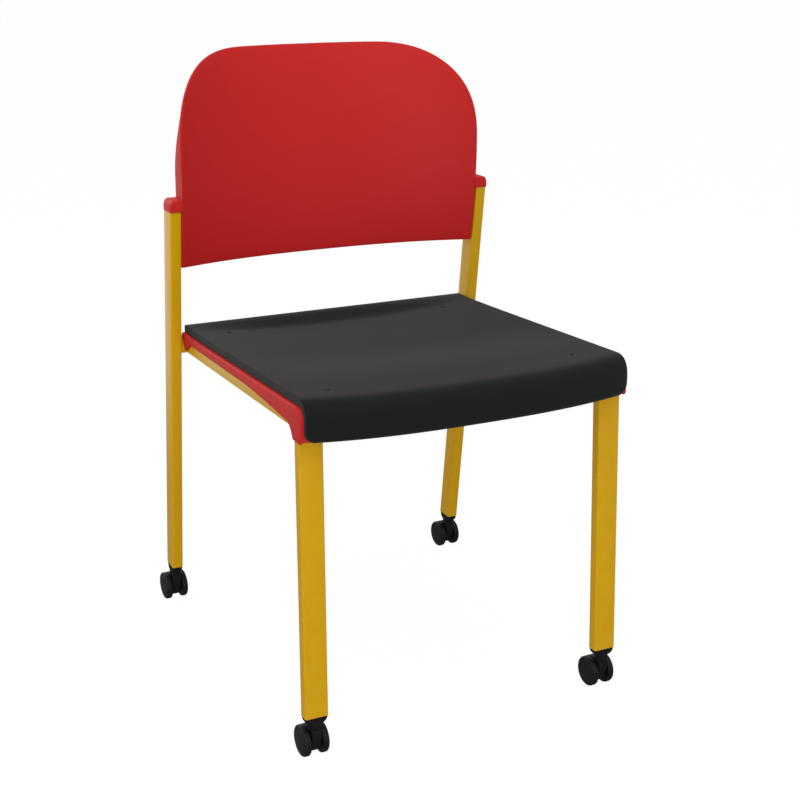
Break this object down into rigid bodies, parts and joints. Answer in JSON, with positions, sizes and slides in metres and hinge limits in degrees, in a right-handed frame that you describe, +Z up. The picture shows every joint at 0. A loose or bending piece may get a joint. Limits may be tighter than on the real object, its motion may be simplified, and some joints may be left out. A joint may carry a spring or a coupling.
{
  "type": "nesting chair",
  "caption": "Armless chair with a bent flat-tube frame, dished seat in a side-skirted shell, curved backrest on raked uprights and a twin-wheel castor under each foot.",
  "frame": {"origin": "centre of the footprint, on the floor under the castors", "axes": "+Z up; the chair faces -Y; +X is on the right seen from the front"},
  "size_m": [0.4906, 0.5588, 0.805],
  "materials": {
    "yellow_tube": "satin powder coat",
    "red_shell": "satin moulded, lightly grained",
    "black_pad": "matt, finely grained",
    "castor_black": "satin moulded nylon",
    "wheel_black": "satin moulded, hard tread",
    "pin_steel": "ground",
    "screw_steel": "zinc-plated"
  },
  "bodies": {
    "chair": {"left_side_frame": "yellow_tube", "right_side_frame": "yellow_tube", "left_upright": "yellow_tube", "right_upright": "yellow_tube", "rear_cross_tube": "yellow_tube", "front_cross_tube": "yellow_tube", "seat_shell": "red_shell", "seat_pad": "black_pad", "backrest": "red_shell", "left_back_screw_1": "screw_steel", "left_back_screw_2": "screw_steel", "right_back_screw_1": "screw_steel", "right_back_screw_2": "screw_steel", "left_seat_screw_1": "screw_steel", "left_seat_screw_2": "screw_steel", "right_seat_screw_1": "screw_steel", "right_seat_screw_2": "screw_steel", "front_left_plug": "castor_black", "front_right_plug": "castor_black", "rear_left_plug": "castor_black", "rear_right_plug": "castor_black"},
    "front_left_castor": {"front_left_castor_housing": "castor_black", "front_left_castor_stem": "pin_steel", "front_left_grip_ring": "pin_steel", "front_left_axle": "pin_steel"},
    "front_left_wheel_a": {"front_left_wheel_left": "wheel_black"},
    "front_left_wheel_b": {"front_left_wheel_right": "wheel_black"},
    "front_right_castor": {"front_right_castor_housing": "castor_black", "front_right_castor_stem": "pin_steel", "front_right_grip_ring": "pin_steel", "front_right_axle": "pin_steel"},
    "front_right_wheel_a": {"front_right_wheel_left": "wheel_black"},
    "front_right_wheel_b": {"front_right_wheel_right": "wheel_black"},
    "rear_left_castor": {"rear_left_castor_housing": "castor_black", "rear_left_castor_stem": "pin_steel", "rear_left_grip_ring": "pin_steel", "rear_left_axle": "pin_steel"},
    "rear_left_wheel_a": {"rear_left_wheel_left": "wheel_black"},
    "rear_left_wheel_b": {"rear_left_wheel_right": "wheel_black"},
    "rear_right_castor": {"rear_right_castor_housing": "castor_black", "rear_right_castor_stem": "pin_steel", "rear_right_grip_ring": "pin_steel", "rear_right_axle": "pin_steel"},
    "rear_right_wheel_a": {"rear_right_wheel_left": "wheel_black"},
    "rear_right_wheel_b": {"rear_right_wheel_right": "wheel_black"}
  },
  "joints": [
    {"name": "front_left_swivel", "type": "hinge", "parent": "chair", "child": "front_left_castor", "pos_m": [-0.204, -0.2451, 0.04], "axis": [0, 0, 1], "continuous": true},
    {"name": "front_left_roll_a", "type": "hinge", "parent": "front_left_castor", "child": "front_left_wheel_a", "pos_m": [-0.20428, -0.2343, 0.02], "axis": [0.9997, 0.0262, 0], "continuous": true},
    {"name": "front_left_roll_b", "type": "hinge", "parent": "front_left_castor", "child": "front_left_wheel_b", "pos_m": [-0.20428, -0.2343, 0.02], "axis": [0.9997, 0.0262, 0], "continuous": true},
    {"name": "front_right_swivel", "type": "hinge", "parent": "chair", "child": "front_right_castor", "pos_m": [0.204, -0.2451, 0.04], "axis": [0, 0, 1], "continuous": true},
    {"name": "front_right_roll_a", "type": "hinge", "parent": "front_right_castor", "child": "front_right_wheel_a", "pos_m": [0.20372, -0.2343, 0.02], "axis": [0.9997, 0.0262, 0], "continuous": true},
    {"name": "front_right_roll_b", "type": "hinge", "parent": "front_right_castor", "child": "front_right_wheel_b", "pos_m": [0.20372, -0.2343, 0.02], "axis": [0.9997, 0.0262, 0], "continuous": true},
    {"name": "rear_left_swivel", "type": "hinge", "parent": "chair", "child": "rear_left_castor", "pos_m": [-0.2285, 0.24765, 0.04], "axis": [0, 0, 1], "continuous": true},
    {"name": "rear_left_roll_a", "type": "hinge", "parent": "rear_left_castor", "child": "rear_left_wheel_a", "pos_m": [-0.22878, 0.25845, 0.02], "axis": [0.9997, 0.0262, 0], "continuous": true},
    {"name": "rear_left_roll_b", "type": "hinge", "parent": "rear_left_castor", "child": "rear_left_wheel_b", "pos_m": [-0.22878, 0.25845, 0.02], "axis": [0.9997, 0.0262, 0], "continuous": true},
    {"name": "rear_right_swivel", "type": "hinge", "parent": "chair", "child": "rear_right_castor", "pos_m": [0.2285, 0.24765, 0.04], "axis": [0, 0, 1], "continuous": true},
    {"name": "rear_right_roll_a", "type": "hinge", "parent": "rear_right_castor", "child": "rear_right_wheel_a", "pos_m": [0.22822, 0.25845, 0.02], "axis": [0.9997, 0.0262, 0], "continuous": true},
    {"name": "rear_right_roll_b", "type": "hinge", "parent": "rear_right_castor", "child": "rear_right_wheel_b", "pos_m": [0.22822, 0.25845, 0.02], "axis": [0.9997, 0.0262, 0], "continuous": true}
  ]
}
